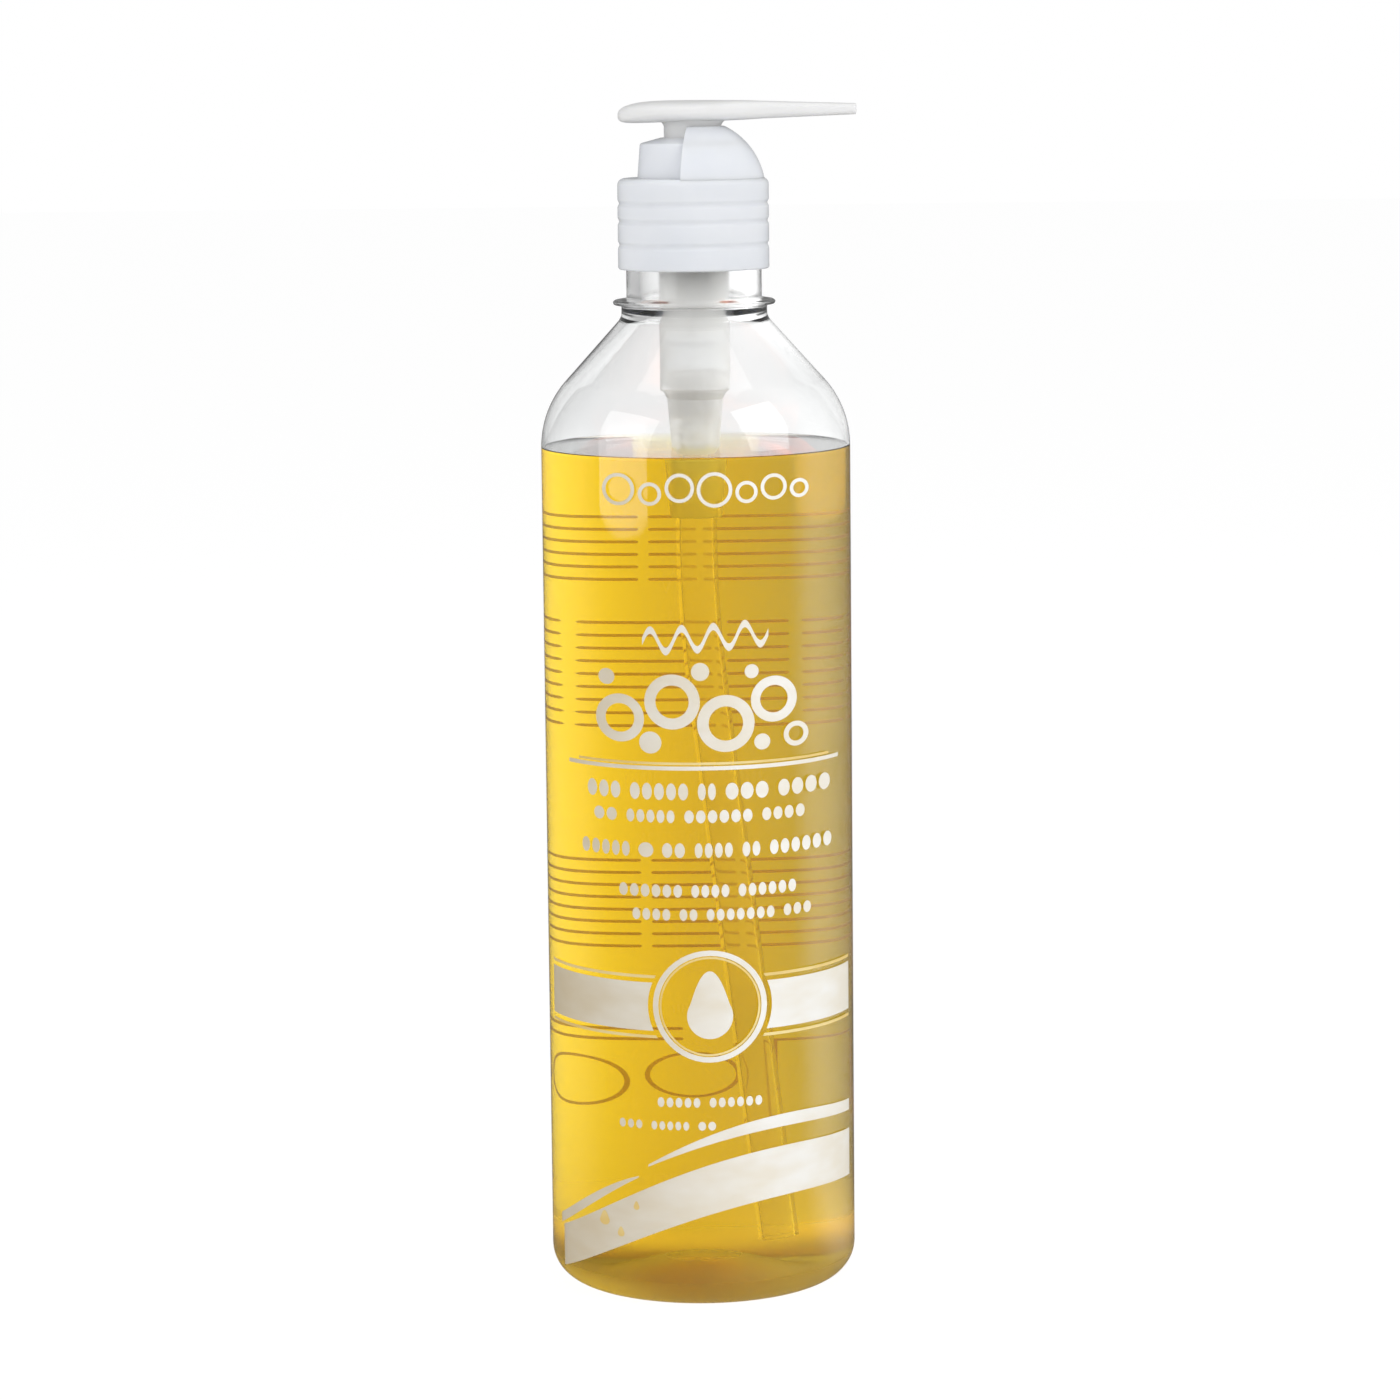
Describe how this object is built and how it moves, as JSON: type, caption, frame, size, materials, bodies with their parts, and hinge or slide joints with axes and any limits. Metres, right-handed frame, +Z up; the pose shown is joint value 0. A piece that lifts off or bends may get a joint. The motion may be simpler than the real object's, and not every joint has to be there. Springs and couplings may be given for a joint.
{
  "type": "liquid soap bottle",
  "caption": "Clear round bottle of yellow liquid soap with a printed sleeve and a white screw-on pump, its head locked down over a domed closure.",
  "frame": {"origin": "centre of the base on the surface that the bottle stands on", "axes": "+Z up along the bottle's axis, +X towards the nozzle's tip"},
  "size_m": [0.0644, 0.0632, 0.2418],
  "materials": {
    "clear_plastic": "clear blown plastic, glossy",
    "soap": "clear golden liquid",
    "clear_film": "thin clear film, glossy",
    "white_ink": "printed white ink, satin",
    "gasket_foam": "soft foamed plastic",
    "white_plastic": "milky moulded plastic, satin gloss",
    "natural_plastic": "natural moulded plastic, half clear",
    "ball_glass": "clear glass",
    "spring_steel": "drawn steel wire"
  },
  "bodies": {
    "bottle": {"bottle": "clear_plastic", "liquid_soap": "soap", "sleeve": "clear_film", "front_print": "white_ink", "back_print": "white_ink"},
    "pump_body": {"neck_gasket": "gasket_foam", "chaplet": "white_plastic", "housing": "natural_plastic", "dip_tube": "natural_plastic", "inlet_ball": "ball_glass", "return_spring": "spring_steel"},
    "closure": {"closure": "white_plastic"},
    "piston": {"piston": "white_plastic"},
    "head": {"stem": "natural_plastic", "outlet_ball": "ball_glass", "pump_head": "white_plastic"}
  },
  "joints": [
    {"name": "pump_lift", "type": "slide", "parent": "bottle", "child": "pump_body", "axis": [0, 0, 1], "range_m": [0, 0.0063]},
    {"name": "closure_turn", "type": "hinge", "parent": "pump_body", "child": "closure", "pos_m": [0, 0, 0.215], "axis": [0, 0, 1], "range_deg": [0, 540]},
    {"name": "head_rise", "type": "slide", "parent": "pump_body", "child": "piston", "axis": [0, 0, 1], "range_m": [0, 0.013], "deforming": ["return_spring"]},
    {"name": "head_turn", "type": "hinge", "parent": "piston", "child": "head", "pos_m": [0, 0, 0.24], "axis": [0, 0, 1], "continuous": true}
  ],
  "couplings": [
    {"joint": "pump_lift", "follows": "closure_turn", "m_per_rad": 0.000668}
  ]
}
